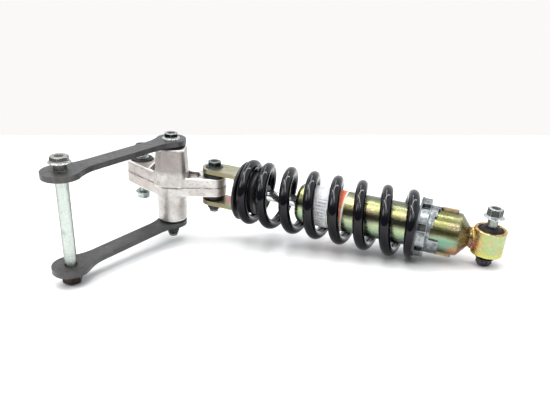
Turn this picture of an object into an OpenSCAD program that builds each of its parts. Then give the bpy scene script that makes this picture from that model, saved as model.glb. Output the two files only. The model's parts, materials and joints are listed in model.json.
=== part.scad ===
// Rear shock absorber with its rising-rate linkage: damper, coil spring, preload cam,
// clevis, cast rocker arm, a pair of tie rods and all the bolts that hold them.
// Origin: centre of the upper eye. +X: along the shock, away from the spring.
// +Z: along every pivot bolt, towards the bolt heads. Units: millimetres.

/* [Shock] */
// Distance from the upper eye's centre to the clevis bolt's centre, fully extended
eye_to_eye = 300; // [290:1:312]
// Outside diameter of the damper tube and of the upper housing
tube_d = 43; // [42:0.5:44]
// Wall of the damper tube
tube_wall = 2; // [1.5:0.25:2.5]
// Diameter of the chromed rod
rod_d = 12.5; // [12:0.5:14]

/* [Spring] */
// Mean diameter of the coil
coil_d = 61.2; // [60:0.2:62]
// Diameter of the spring wire
wire_d = 11.7; // [11:0.1:12]
// Rise of one active turn
coil_pitch = 26.5; // [26:0.1:27]
// Number of turns from tip to tip
coil_turns = 7.9; // [7.8:0.1:8]

/* [Upper eye] */
// Outside diameter of the eye
eye_d = 30.8; // [30:0.2:32]
// Length of the eye along its bolt
eye_len = 26; // [24:1:28]
// Length of the steel sleeve in the eye's rubber bush
eye_sleeve_len = 31.6; // [30:0.2:34]

/* [Preload cam] */
// Outside diameter of the cam ring's smooth sleeve
cam_d = 48; // [47.5:0.5:49]
// Outside diameter over the spanner lugs
spanner_d = 60; // [58:1:62]
// Number of spanner lugs
spanner_lugs = 8; // [6:1:10]
// Rise from one cam tread to the next
cam_rise = 1.9; // [1.5:0.1:2]

/* [Clevis] */
// Width of the clevis ears
clevis_w = 27; // [25:1:28]
// Thickness of each clevis ear
clevis_ear_t = 5; // [4:0.5:6]
// Overall height over both ears
clevis_h = 42.8; // [42:0.2:44]

/* [Rocker arm] */
// Rocker centre pivot, measured along the shock from the clevis bolt
centre_pivot_x = -44.8; // [-46:0.1:-44]
// Rocker centre pivot, measured across the shock from the clevis bolt
centre_pivot_y = -18.3; // [-20:0.1:-17]
// Frame pivot, measured along the shock from the clevis bolt
frame_pivot_x = -97.7; // [-100:0.1:-96]
// Frame pivot, measured across the shock from the clevis bolt
frame_pivot_y = 1.2; // [0:0.1:3]
// Length of the tall centre boss
boss_len = 87.5; // [86:0.5:90]
// Diameter of the round lower half of the tall centre boss
boss_d = 33.4; // [32:0.2:34]
// Width of the square upper half of the boss at its foot
column_foot_w = 37.8; // [36:0.2:38]
// Width of the square upper half of the boss at its top
column_top_w = 31.8; // [31.4:0.2:33]
// Thickness of the arm that carries the frame pivot
frame_arm_t = 27; // [25:0.5:28]
// Thickness of the arm that goes into the clevis
shock_arm_t = 22; // [20:0.5:23]

/* [Tie rods] */
// Swingarm end of the tie rods, along the shock from the clevis bolt
swingarm_pivot_x = -76.6; // [-80:0.1:-74]
// Swingarm end of the tie rods, across the shock from the clevis bolt
swingarm_pivot_y = -155.6; // [-158:0.1:-152]
// Thickness of each tie rod
tie_t = 5.8; // [5:0.2:6.4]
// Gap between the tall boss and the lower tie rod, filled by a dust seal
tie_gap = 1.9; // [1.6:0.1:2.2]
// Side play of the tall boss between the tie rods, all above it at rest
tie_play = 1.2; // [0.6:0.1:1.6]
// Width of a tie rod's waist
tie_waist_w = 18.6; // [17:0.2:20]

/* [Bolts] */
// Shank diameter of the four smaller pivot bolts
m10_d = 10; // [9.9:0.1:10]
// Shank diameter of the swingarm bolt
m12_d = 12; // [11.9:0.1:12]

/* [Hidden] */
$fn = 64;

gap = 0.05;             // running clearance between a shaft and its hole
touch = 0.02;           // clearance between pieces that are clamped or bonded together
clevis_x = -eye_to_eye; // every place along the shock is given from the clevis bolt
eye_r = eye_d / 2;
eye_bore_r = 12.4;
tube_r = tube_d / 2;
tube_bore_r = tube_r - tube_wall;
rod_r = rod_d / 2;
stud_r = 5;
m10_r = m10_d / 2;
m12_r = m12_d / 2;
bolt_hole_r = m10_r + gap;
sleeve_r = 8;

// Rocker pivots as points from the clevis bolt
centre_p = [centre_pivot_x, centre_pivot_y];
frame_p = [frame_pivot_x, frame_pivot_y];
swingarm_p = [swingarm_pivot_x, swingarm_pivot_y];
shock_arm_angle = atan2(-centre_p.y, -centre_p.x);
frame_arm_angle = atan2(frame_p.y - centre_p.y, frame_p.x - centre_p.x);
tie_angle = atan2(swingarm_p.y - centre_p.y, swingarm_p.x - centre_p.x);
tie_len = norm(swingarm_p - centre_p);
tie_low_z = -boss_len / 2 - tie_gap;            // inner face of the lower tie rod
tie_high_z = boss_len / 2 + tie_gap + tie_play; // inner face of the upper tie rod

// Bolt heads and nuts: flange radius, flange thickness, width across flats, height
pivot_head = [9.8, 1.5, 14, 6.3];
clevis_head = [10.1, 1.6, 14, 7];
upper_head = [9.9, 1.6, 13, 9.4];
swingarm_head = [10.3, 1.6, 15.4, 6.1];
m10_nut = [9.6, 1.5, 14, 8.6];
clevis_nut_size = [9.6, 1.5, 15, 8.6];
upper_nut_size = [8.7, 1.4, 13, 7.8];
m12_nut = [11.4, 1.7, 17, 11.4];
nut_tip = 2.4;       // bolt thread that stands out of a nut

// Where the heads of the loose bolts stand, and where their nuts hang
upper_bolt_z = 25.4;
upper_nut_z = -18;
frame_bolt_z = 25.5;
frame_nut_z = -27.8;
centre_nut_z = tie_low_z - tie_t - 4;
swingarm_bolt_z = tie_high_z + tie_t + 8.1;
swingarm_nut_z = tie_low_z - tie_t - 2.1;

// Stations along the shock, from the clevis bolt
base_x = 30.4;       // inner face of the clevis base
seat_x = 35.2;       // outer face of the clevis base, back of the lower spring seat
locknut_t = 6;       // locknut that jams the rod's stud in the clevis base
coil_start_x = 39.6; // face of the lower spring seat
guide_floor_x = 44.6; // floor of the spring guide, where the bump stop sits
coil_end_x = 231.5;  // face of the upper spring seat
bump_end_x = 66;
tube_start_x = 104;
housing_x = 238;     // seam between tube and housing, under the cam ring
cone_x = 272;        // where the housing starts to taper
neck_x = 285;
neck_r = 9.6;
cam_x = 233.3;       // back of the cam ring's spanner lugs
cam_body_x = 241.3;  // front of the spanner lugs
cam_low_x = 245;     // lowest cam tread
cam_treads = 6;
cam_bore_r = tube_r + 0.1;
tread_angle = 180 / cam_treads;
lug_angle = 79;      // cam stop lugs, from +Y towards +Z
lug_tread = 3;       // the tread that the lugs rest on
lug_w = 6;
lug_x = cam_low_x + lug_tread * cam_rise + cam_rise / 2 + 0.1;
lug_len = 16.6;
guide_len = 11;
piston_x = 128;      // damper piston, extended
shim_t = 0.6;
shims = 4;
free_piston_x = 206;

// ---------- shared shapes ----------

// A point of the shock axis, at a station from the clevis bolt, looking along +X
module along(x) {
    translate([clevis_x + x, 0, 0]) rotate([0, 90, 0]) children();
}

// A pivot given from the clevis bolt, at height z
module at_pivot(p, z = 0) {
    translate([clevis_x + p.x, p.y, z]) children();
}

module tube(r_out, r_in, h) {
    difference() {
        cylinder(r = r_out, h = h);
        translate([0, 0, -1]) cylinder(r = r_in, h = h + 2);
    }
}

// Hexagon bar with both ends chamfered, h tall and af across its flats
module hex_bar(af, h) {
    corner_r = af / sqrt(3);
    chamfer = 0.7;
    intersection() {
        cylinder(r = corner_r, h = h, $fn = 6);
        rotate_extrude() polygon([
            [0, 0], [corner_r, 0], [corner_r, h - chamfer],
            [corner_r - 2 * chamfer, h], [0, h]
        ]);
    }
}

// Flange bolt: the flange seats on z = 0, the head is above it and the shank below
module flange_bolt(head, shank_r, shank_len, thread_r = 0, thread_len = 0) {
    neck_r = thread_r > 0 ? thread_r : shank_r;
    rotate_extrude() polygon([
        [0, 0], [head[0], 0], [head[0], 0.5], [head[2] / 2 + 0.4, head[1]], [0, head[1]]
    ]);
    difference() {
        hex_bar(head[2], head[3]);
        translate([0, 0, head[3] - 0.6]) cylinder(r1 = 3.4, r2 = 4.2, h = 0.7);
    }
    rotate_extrude() polygon([
        [0, 0.5], [shank_r, 0.5], [shank_r, thread_len - shank_len],
        [neck_r, thread_len - shank_len - 0.4], [neck_r, 1 - shank_len],
        [neck_r - 1, -shank_len], [0, -shank_len]
    ]);
}

// Flange lock nut: the flange seats on z = 0 and the nut hangs below it
module flange_nut(size, bore_r, collar = 2) {
    difference() {
        union() {
            mirror([0, 0, 1]) rotate_extrude() polygon([
                [0, 0], [size[0], 0], [size[0], 0.5], [size[2] / 2 + 0.3, size[1]], [0, size[1]]
            ]);
            mirror([0, 0, 1]) hex_bar(size[2], size[3] - collar);
            translate([0, 0, -size[3]])
                cylinder(r1 = bore_r + 0.9, r2 = size[2] / 2 - 0.4, h = collar + 0.5);
        }
        translate([0, 0, -size[3] - 1]) cylinder(r = bore_r + touch, h = size[3] + 2);
    }
}

// Outline that wraps two circles, with true tangent lines
module wrap(p1, r1, p2, r2) {
    d = norm(p2 - p1);
    base = atan2(p2.y - p1.y, p2.x - p1.x);
    side = acos((r1 - r2) / d);
    function rim(p, r, a) = p + r * [cos(a), sin(a)];
    translate(p1) circle(r = r1);
    translate(p2) circle(r = r2);
    polygon([
        rim(p1, r1, base + side), rim(p2, r2, base + side),
        rim(p2, r2, base - side), rim(p1, r1, base - side)
    ]);
}

// Rounded square column, side across its flats and corner radius r
module rounded_square(side, r) {
    square([side - 2 * r, side], center = true);
    square([side, side - 2 * r], center = true);
    for (x = [-1, 1], y = [-1, 1])
        translate([x, y] * (side / 2 - r)) circle(r = r);
}

// ---------- upper eye and its bolt ----------

module upper_eye() {
    color("darkkhaki") translate([0, 0, -eye_len / 2]) rotate_extrude() polygon([
        [eye_bore_r, 0.6], [eye_bore_r + 0.6, 0], [eye_r - 0.6, 0], [eye_r, 0.6],
        [eye_r, eye_len - 0.6], [eye_r - 0.6, eye_len], [eye_bore_r + 0.6, eye_len],
        [eye_bore_r, eye_len - 0.6]
    ]);
}

// Ring of weld metal that joins the housing's neck to the eye
module eye_weld() {
    color("indianred") difference() {
        along(neck_x - 2.2) cylinder(r1 = neck_r + touch, r2 = neck_r + 1.6, h = 5);
        along(neck_x - 5) cylinder(r = neck_r + touch, h = 12);
        cylinder(r = eye_r + touch, h = 2 * eye_len, center = true);
    }
}

module eye_rubber_bush() {
    bond_r = sleeve_r - 0.6 + touch;
    half = eye_len / 2;
    color("#2a1f20") rotate_extrude() polygon([
        [bond_r, half + 2], [bond_r + 0.9, half + 1.8], [bond_r + 2.6, half - 1.6],
        [eye_bore_r - 1.4, half - 2.4], [eye_bore_r - touch, half - 1],
        [eye_bore_r - touch, 1 - half], [eye_bore_r - 1.4, 2.4 - half],
        [bond_r + 2.6, 1.6 - half], [bond_r + 0.9, -half - 1.8], [bond_r, -half - 2]
    ]);
}

module eye_sleeve() {
    color("dimgray") translate([0, 0, -eye_sleeve_len / 2])
        tube(sleeve_r - 0.6, bolt_hole_r, eye_sleeve_len);
}

module upper_bolt() {
    color("silver") translate([0, 0, upper_bolt_z])
        flange_bolt(upper_head, m10_r, upper_bolt_z - upper_nut_z + upper_nut_size[3] - 0.6);
}

module upper_nut() {
    color("#2b2733") translate([0, 0, upper_nut_z]) flange_nut(upper_nut_size, m10_r, 1);
}

// ---------- damper body ----------

// Yellow zinc-plated cup: cylinder, cone and solid neck, coped to sit on the round eye
module upper_housing() {
    floor_x = cone_x - 2;
    color("darkkhaki") difference() {
        along(housing_x) rotate_extrude() polygon([
            [0, floor_x - housing_x], [tube_bore_r, floor_x - 3 - housing_x],
            [tube_bore_r, 0], [tube_r, 0], [tube_r, cone_x - housing_x - 1],
            [tube_r - 0.5, cone_x - housing_x + 0.6], [neck_r, neck_x - 3 - housing_x],
            [neck_r, neck_x + 5 - housing_x], [0, neck_x + 5 - housing_x]
        ]);
        cylinder(r = eye_r + touch, h = 2 * eye_len, center = true);
    }
}

module damper_tube() {
    color("darkkhaki") along(tube_start_x + 6 + touch)
        tube(tube_r, tube_bore_r, housing_x - tube_start_x - 6 - 2 * touch);
}

// Rounded end of the tube, with the hole for the rod seal
module tube_end_cap() {
    round_r = 6;
    hole_r = 11;
    color("darkkhaki") along(tube_start_x) difference() {
        union() {
            translate([0, 0, round_r]) rotate_extrude()
                translate([tube_r - round_r, 0]) circle(r = round_r);
            cylinder(r = tube_r - round_r, h = round_r);
        }
        translate([0, 0, -1]) cylinder(r = hole_r, h = 3 * round_r);
        translate([0, 0, 3]) cylinder(r = tube_bore_r - 2, h = 3 * round_r);
        translate([0, 0, round_r]) cylinder(r = tube_r + 1, h = 2 * round_r);
    }
}

// Two pressed pills that the cam treads lean on
module cam_stop_lugs() {
    color("tan") for (turn = [0, 180])
        difference() {
            rotate([lug_angle + turn, 0, 0]) translate([clevis_x + lug_x, 0, 0])
                rotate([-90, 0, 0]) linear_extrude(tube_r + 2.8)
                wrap([lug_w / 2, 0], lug_w / 2, [lug_len - lug_w / 2, 0], lug_w / 2);
            along(cam_body_x) cylinder(r = tube_r + touch, h = 60);
        }
}

module rod_guide() {
    color("silver") along(tube_start_x + 8)
        tube(tube_bore_r - touch, rod_r + 1.5 + touch, guide_len);
}

module rod_bushing() {
    color("peru") along(tube_start_x + 9) tube(rod_r + 1.5, rod_r + gap, guide_len - 2);
}

module rod_oil_seal() {
    color("black") along(tube_start_x + 3.5) tube(tube_bore_r - 2.1, rod_r + gap, 4);
}

module rod_dust_wiper() {
    color("black") along(tube_start_x - 1) difference() {
        cylinder(r1 = 8.4, r2 = 10.9, h = 4);
        translate([0, 0, -1]) cylinder(r = rod_r + gap, h = 6);
    }
}

// Sticker wrapped round the tube: the glue side just clears the metal
module sticker(x, width) {
    along(x) tube(tube_r + 0.2, tube_r + touch, width);
}

module white_label() {
    color("whitesmoke") sticker(121, 19.5);
}

module orange_label() {
    color("orangered") sticker(141.3, 15.7);
}

// ---------- preload cam ----------

// Everything ahead of one tread and of the lower treads beside it, to be cut away
module cam_notch(flight, tread) {
    rake = tread * 0.4; // leans the drop at the flight's end, so that no two cuts share a face
    span = (tread + 1) * tread_angle + rake;
    low_end = lug_angle + 90 + flight + (lug_tread + 0.5) * tread_angle + rake;
    translate([0, 0, cam_low_x + tread * cam_rise - cam_x]) rotate([0, 0, low_end - span])
        linear_extrude(cam_treads * cam_rise) polygon([
            [0, 0], for (i = [0 : 8]) (spanner_d + tread) * [cos(span * i / 8), sin(span * i / 8)]
        ]);
}

// Castellated ring with two flights of treads that climb round it
module preload_cam_ring() {
    lug_pitch = 360 / spanner_lugs;
    notch_w = PI * spanner_d * 15 / 360;
    lugs_h = cam_body_x - cam_x;
    full_h = cam_low_x + (cam_treads - 1) * cam_rise - cam_x;
    color("lightgray") along(cam_x + touch) difference() {
        rotate_extrude() polygon([
            [cam_bore_r, 0], [spanner_d / 2, 0], [spanner_d / 2, lugs_h],
            [cam_d / 2, lugs_h], [cam_d / 2, full_h], [cam_bore_r, full_h]
        ]);
        for (i = [0 : spanner_lugs - 1])
            rotate([0, 0, (i + 0.5) * lug_pitch]) translate([cam_d / 2 + 0.4, -notch_w / 2, -1])
                cube([spanner_d, notch_w, lugs_h + 1]);
        for (flight = [0, 180], tread = [0 : cam_treads - 2])
            cam_notch(flight, tread);
    }
}

module upper_spring_seat() {
    color("darkgray") along(coil_end_x + touch) tube(30.5, cam_bore_r, cam_x - coil_end_x - touch);
}

// ---------- inside the damper ----------

module free_piston() {
    color("silver") along(free_piston_x) difference() {
        cylinder(r = tube_bore_r - gap, h = 14);
        translate([0, 0, 4]) cylinder(r = tube_bore_r - 4, h = 14);
        translate([0, 0, 5]) tube(tube_r, tube_bore_r - 2, 3);
    }
}

module free_piston_ring() {
    color("black") along(free_piston_x + 5 + touch)
        tube(tube_bore_r - gap, tube_bore_r - 2 + touch, 3 - 2 * touch);
}

module damper_rod() {
    tip_x = base_x - 0.8;
    stud_len = seat_x + locknut_t + 2 * touch - tip_x;
    piston_end = piston_x - shims * shim_t - 2 * touch - tip_x;
    color("gainsboro") along(tip_x) rotate_extrude() polygon([
        [0, 0], [stud_r - 0.8, 0], [stud_r, 0.8], [stud_r, stud_len], [rod_r, stud_len],
        [rod_r, piston_end], [stud_r, piston_end], [stud_r, piston_end + 27],
        [0, piston_end + 27]
    ]);
}

module damper_piston() {
    port_count = 6;
    color("darkgray") along(piston_x) difference() {
        cylinder(r = tube_bore_r - 0.6, h = 12);
        translate([0, 0, -1]) cylinder(r = stud_r + touch, h = 14);
        for (i = [0 : port_count - 1])
            rotate([0, 0, i * 360 / port_count]) translate([11, 0, -1]) cylinder(r = 2, h = 14);
        translate([0, 0, 3]) tube(tube_r, tube_bore_r - 1.6, 6);
    }
}

module piston_ring() {
    color("saddlebrown") along(piston_x + 3 + touch)
        tube(tube_bore_r - gap, tube_bore_r - 1.6 + touch, 6 - 2 * touch);
}

// Stack of thin washers, widest against the piston; side is +1 or -1 along the shock
module shim_stack(x, side) {
    along(x) for (i = [0 : shims - 1])
        translate([0, 0, side > 0 ? i * shim_t : -(i + 1) * shim_t])
            tube(15 - i * 2, stud_r + touch, shim_t);
}

module compression_shims() {
    color("steelblue") shim_stack(piston_x - touch, -1);
}

module rebound_shims() {
    color("steelblue") shim_stack(piston_x + 12 + touch, 1);
}

module piston_nut() {
    color("dimgray") along(piston_x + 12 + shims * shim_t + 3 * touch) difference() {
        hex_bar(17, 8);
        translate([0, 0, -1]) cylinder(r = stud_r + touch, h = 10);
    }
}

// ---------- rod end: seat, guide, bump stop and clevis ----------

module bump_stop() {
    length = bump_end_x - guide_floor_x;
    color("#1a1a1a") along(guide_floor_x) difference() {
        rotate_extrude() polygon([
            [0, 0], [15, 0], [16, 2], [14, length / 2], [14.5, length / 2 + 2],
            [11, length], [0, length]
        ]);
        translate([0, 0, -1]) cylinder(r = rod_r + gap, h = length + 2);
    }
}

// Black cup that centres the first turn, covers the locknut and holds the bump stop
module spring_guide() {
    floor_h = guide_floor_x - touch - coil_start_x;
    rim_h = 18.4;
    nut_room_h = seat_x + locknut_t + 0.3 - coil_start_x;
    color("#202022") along(coil_start_x) difference() {
        rotate_extrude() polygon([
            [0, 0], [23.6, 0], [23.6, rim_h - 2], [22, rim_h], [17, rim_h], [17, floor_h],
            [0, floor_h]
        ]);
        translate([0, 0, -1]) cylinder(r = rod_r + gap, h = 40);
        translate([0, 0, -1]) cylinder(r = 10.4, h = nut_room_h + 1);
    }
}

// Pressed dish behind the first turn, clamped to the clevis base by the spring
module lower_spring_seat() {
    depth = coil_start_x - seat_x - touch;
    color("#202022") along(seat_x + touch) rotate_extrude() polygon([
        [11, 0], [28, 0], [31.6, 1], [33.2, 2.6], [33.2, depth - touch], [11, depth - touch]
    ]);
}

// U-shaped fork: two ears joined by a base that the rod's stud goes through
module clevis() {
    ear_r = clevis_w / 2;
    color("darkkhaki") difference() {
        at_pivot([0, 0]) union() {
            for (side = [-1, 1])
                translate([0, 0, side > 0 ? clevis_h / 2 - clevis_ear_t : -clevis_h / 2])
                    linear_extrude(clevis_ear_t) {
                        circle(r = ear_r);
                        translate([0, -ear_r]) square([seat_x, clevis_w]);
                    }
            translate([base_x, -ear_r, -clevis_h / 2])
                cube([seat_x - base_x, clevis_w, clevis_h]);
        }
        at_pivot([0, 0], -clevis_h) cylinder(r = bolt_hole_r, h = 2 * clevis_h);
        along(base_x - 1) cylinder(r = stud_r + touch, h = 10);
    }
}

module rod_locknut() {
    color("silver") along(seat_x + touch) difference() {
        hex_bar(17, locknut_t);
        translate([0, 0, -1]) cylinder(r = stud_r + touch, h = locknut_t + 2);
    }
}

module clevis_sleeve() {
    inner_h = clevis_h - 2 * clevis_ear_t;
    color("dimgray") at_pivot([0, 0], touch - inner_h / 2)
        tube(sleeve_r, bolt_hole_r, inner_h - 2 * touch);
}

module clevis_bolt() {
    color("#39433c") at_pivot([0, 0], clevis_h / 2 + touch)
        flange_bolt(clevis_head, m10_r, clevis_h + clevis_nut_size[3] + nut_tip);
}

module clevis_nut() {
    color("#2c2e2d") at_pivot([0, 0], -clevis_h / 2 - touch) flange_nut(clevis_nut_size, m10_r, 3);
}

// ---------- coil spring ----------

// Softened corner: 0 before u = -w, u after u = w, and a parabola between
function soft(u, w) = u <= -w ? 0 : u >= w ? u : (u + w) * (u + w) / (4 * w);

closed_pitch = wire_d + 0.2;
// The end turns lie wire on wire, and the turns between them rise by the full pitch
coil_wind_up = 0.92;
coil_wind_down = 7.55;
coil_first_top = 0.4;
coil_tip_x = coil_start_x + 1;
function coil_x(t) = coil_tip_x + closed_pitch * t
    + (coil_pitch - closed_pitch) * (soft(t - coil_wind_up, 0.1) - soft(t - coil_wind_down, 0.1));

// The wire is swept round the coil, and its two ends are ground flat for the seats
module coil_spring() {
    steps = 20;
    sides = 10;
    count = round(coil_turns * steps);
    rings = [for (i = [0 : count]) let (t = i / steps, a = 90 + 360 * (t - coil_first_top))
        [for (j = [0 : sides - 1]) let (
            b = 360 * j / sides,
            x = coil_x(t) + wire_d / 2 * cos(b),
            r = coil_d / 2 + wire_d / 2 * sin(b))
            [min(max(x, coil_start_x + touch), coil_end_x - touch), r * cos(a), r * sin(a)]]];
    points = [for (ring = rings) each ring];
    walls = [for (i = [0 : count - 1], j = [0 : sides - 1]) let (k = (j + 1) % sides)
        [i * sides + j, i * sides + k, (i + 1) * sides + k, (i + 1) * sides + j]];
    tips = [[for (j = [sides - 1 : -1 : 0]) j], [for (j = [0 : sides - 1]) count * sides + j]];
    color("#1c1c20") translate([clevis_x, 0, 0])
        polyhedron(points = points, faces = concat(walls, tips));
}

// ---------- rocker arm ----------

frame_bore_r = 13.4;
shock_end_r = 13.8;
frame_end_r = 17;
bearing_r = 11;
part_line_step = 0.5; // the lower half of the casting is a little proud of the upper half

// Plan of the arms, grown outwards by grow
module frame_arm_plan(grow = 0) {
    wrap(frame_p, frame_end_r + grow, centre_p, boss_d / 2 + grow);
}

module shock_arm_plan(grow = 0) {
    wrap(centre_p, boss_d / 2 + grow, [0, 0], shock_end_r + grow);
}

// Shallow triangular pocket in the top of the frame arm
module frame_arm_pocket() {
    translate([centre_p.x, centre_p.y, frame_arm_t / 2 - 7]) rotate([0, 0, frame_arm_angle])
        linear_extrude(8) polygon([[12, -12.5], [36, -13.5], [41, -11], [25, 12.5], [12, 13.5]]);
}

// Flat pocket in the top of the shock arm, beside the tall boss
module shock_arm_pocket() {
    translate([centre_p.x, centre_p.y, shock_arm_t / 2 - 5]) rotate([0, 0, shock_arm_angle])
        linear_extrude(6) polygon([[12, -12.5], [29, -11], [33, 0], [29, 11], [12, 12.5]]);
}

// Web under the frame arm that curves down onto the tall boss
module lower_web() {
    web_t = 13;
    reach = 34;
    drop = 26;
    translate([centre_p.x, centre_p.y, 0]) rotate([0, 0, frame_arm_angle])
        rotate([90, 0, 0]) translate([0, 0, -web_t / 2]) linear_extrude(web_t) difference() {
            translate([0, -frame_arm_t / 2 - drop]) square([reach, drop + 5]);
            translate([reach + boss_d / 2 - 14, -frame_arm_t / 2 - drop]) circle(r = drop);
        }
}

// Both arms with their pockets, the lower half a little proud along the parting line
module rocker_arms() {
    difference() {
        translate([clevis_x, 0, 0]) {
            linear_extrude(frame_arm_t / 2) frame_arm_plan();
            translate([0, 0, -frame_arm_t / 2])
                linear_extrude(frame_arm_t / 2) frame_arm_plan(part_line_step);
            linear_extrude(shock_arm_t / 2) shock_arm_plan();
            translate([0, 0, -shock_arm_t / 2])
                linear_extrude(shock_arm_t / 2) shock_arm_plan(part_line_step);
            lower_web();
        }
        translate([clevis_x, 0, 0]) {
            frame_arm_pocket();
            shock_arm_pocket();
        }
    }
}

module rocker_arm() {
    color("#cfc8c2") difference() {
        union() {
            rocker_arms();
            at_pivot(centre_p) rotate([0, 0, shock_arm_angle])
                linear_extrude(boss_len / 2, scale = column_top_w / column_foot_w)
                rounded_square(column_foot_w, column_foot_w * 0.26);
            at_pivot(centre_p, -boss_len / 2) cylinder(r = boss_d / 2, h = boss_len / 2);
        }
        at_pivot(centre_p, -boss_len) cylinder(r = bearing_r, h = 2 * boss_len);
        at_pivot([0, 0], -boss_len) cylinder(r = bearing_r, h = 2 * boss_len);
        at_pivot(frame_p, -boss_len) cylinder(r = bearing_r, h = 2 * boss_len);
        for (side = [0, 1])
            at_pivot(frame_p) mirror([0, 0, side]) translate([0, 0, frame_arm_t / 2 - 3])
                cylinder(r = frame_bore_r, h = 5);
    }
}

// Needle bearing shell of a given length, with its bore running on a sleeve
module bearing(length) {
    translate([0, 0, -length / 2]) tube(bearing_r - touch, sleeve_r + gap, length);
}

module clevis_bearing() {
    color("lightslategray") at_pivot([0, 0]) bearing(shock_arm_t - 2);
}

module centre_bearings() {
    shell = 22;
    color("lightslategray") for (side = [-1, 1])
        at_pivot(centre_p, side * (boss_len / 2 - 1 - shell / 2)) bearing(shell);
}

module frame_bearing() {
    color("lightslategray") at_pivot(frame_p) bearing(frame_arm_t - 8);
}

// Pair of lipped dust seals on the two faces of an arm; face_z is the arm's half height
module seal_pair(face_z, r_out, lip) {
    for (side = [0, 1])
        mirror([0, 0, side]) translate([0, 0, face_z + touch]) rotate_extrude() polygon([
            [sleeve_r + gap, 0], [r_out, 0], [r_out, lip * 0.5], [r_out - 1.2, lip],
            [sleeve_r + 1.4, lip], [sleeve_r + gap, lip * 0.6]
        ]);
}

module clevis_seals() {
    color("#1b1b1b") at_pivot([0, 0]) seal_pair(shock_arm_t / 2, 12.6, 5);
}

module centre_seals() {
    color("#1b1b1b") at_pivot(centre_p) seal_pair(boss_len / 2, 15.6, tie_gap - 0.2);
}

module frame_seals() {
    color("#1b1b1b") at_pivot(frame_p) seal_pair(frame_arm_t / 2 - 3, frame_bore_r - touch, 4.6);
}

// ---------- frame pivot ----------

frame_sleeve_len = 32;

module frame_sleeve() {
    color("silver") at_pivot(frame_p, -frame_sleeve_len / 2)
        tube(sleeve_r, bolt_hole_r, frame_sleeve_len);
}

module frame_bolt() {
    color("#5b5f5e") at_pivot(frame_p, frame_bolt_z)
        flange_bolt(pivot_head, m10_r, frame_bolt_z - frame_nut_z + m10_nut[3]);
}

module frame_nut() {
    color("silver") at_pivot(frame_p, frame_nut_z) flange_nut(m10_nut, m10_r, 1);
}

// ---------- tie rods ----------

tie_big_r = 18.3;
tie_small_r = 16.4;
tie_pad_r = 13;
tie_pad_h = 0.3;
shoulder_r = 46;

// Plan of a tie rod: x runs from the centre pivot to the swingarm pivot
module tie_plan() {
    wrap([0, 0], tie_waist_w / 2, [tie_len, 0], tie_waist_w / 2);
    tie_eye(tie_small_r);
    translate([tie_len, 0]) mirror([1, 0]) tie_eye(tie_big_r);
}

// Rounded end of a tie rod with concave shoulders that run into the waist
module tie_eye(end_r) {
    waist_r = tie_waist_w / 2;
    shoulder_x = sqrt(pow(end_r + shoulder_r, 2) - pow(waist_r + shoulder_r, 2));
    circle(r = end_r);
    difference() {
        translate([0, -end_r]) square([shoulder_x, 2 * end_r]);
        for (side = [-1, 1])
            translate([shoulder_x, side * (waist_r + shoulder_r)]) circle(r = shoulder_r);
        difference() {
            translate([0, -end_r]) square([end_r * 0.5, 2 * end_r]);
            circle(r = end_r);
        }
    }
}

// Tie rod whose inner face is at z = 0 and whose outer face is at z = tie_t
module tie_rod() {
    at_pivot(centre_p) rotate([0, 0, tie_angle]) difference() {
        union() {
            linear_extrude(tie_t) tie_plan();
            translate([tie_len, 0, -tie_pad_h]) cylinder(r = tie_pad_r, h = 1);
        }
        translate([0, 0, -1]) cylinder(r = bolt_hole_r, h = tie_t + 2);
        translate([tie_len, 0, -1]) cylinder(r = m12_r + gap, h = tie_t + 2);
    }
}

module upper_tie_rod() {
    color("#4c4d50") translate([0, 0, tie_high_z]) tie_rod();
}

module lower_tie_rod() {
    color("#4c4d50") translate([0, 0, tie_low_z]) mirror([0, 0, 1]) tie_rod();
}

module centre_sleeve() {
    color("dimgray") at_pivot(centre_p, tie_low_z + touch)
        tube(sleeve_r, bolt_hole_r, tie_high_z - tie_low_z - 2 * touch);
}

module centre_bolt() {
    head_z = tie_high_z + tie_t + touch;
    color("#33373a") at_pivot(centre_p, head_z)
        flange_bolt(pivot_head, m10_r, head_z - centre_nut_z + m10_nut[3] + nut_tip);
}

module centre_nut() {
    color("#2c2e2d") at_pivot(centre_p, centre_nut_z) flange_nut(m10_nut, m10_r, 4);
}

swingarm_thread_r = 5.1;
swingarm_thread_len = 23;

module swingarm_bolt() {
    color("silver") at_pivot(swingarm_p, swingarm_bolt_z)
        flange_bolt(swingarm_head, m12_r, swingarm_bolt_z - swingarm_nut_z + m12_nut[3] + 0.2,
            swingarm_thread_r, swingarm_thread_len);
}

module swingarm_nut() {
    color("#2e2522") at_pivot(swingarm_p, swingarm_nut_z)
        flange_nut(m12_nut, swingarm_thread_r, 1);
}

upper_eye();
eye_weld();
eye_rubber_bush();
upper_housing();
damper_tube();
tube_end_cap();
cam_stop_lugs();
rod_guide();
rod_bushing();
rod_oil_seal();
rod_dust_wiper();
white_label();
orange_label();
eye_sleeve();
upper_bolt();
upper_nut();
preload_cam_ring();
upper_spring_seat();
free_piston();
free_piston_ring();
damper_rod();
damper_piston();
piston_ring();
compression_shims();
rebound_shims();
piston_nut();
bump_stop();
spring_guide();
lower_spring_seat();
clevis();
rod_locknut();
clevis_sleeve();
clevis_bolt();
clevis_nut();
coil_spring();
rocker_arm();
clevis_bearing();
clevis_seals();
centre_bearings();
centre_seals();
frame_bearing();
frame_seals();
frame_sleeve();
frame_bolt();
frame_nut();
centre_sleeve();
upper_tie_rod();
lower_tie_rod();
centre_bolt();
centre_nut();
swingarm_bolt();
swingarm_nut();
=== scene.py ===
"""Looks for the rear shock absorber and its rocker linkage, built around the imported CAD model.

Geometry is in metres in the row frame. The sizes and places inside the looks, the settings at the head
of each function that makes a piece, and the constants ending in _MM are in millimetres.
"""

import json
import math

import bmesh
import bpy
import numpy as np
from mathutils import Matrix, Vector, noise

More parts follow.
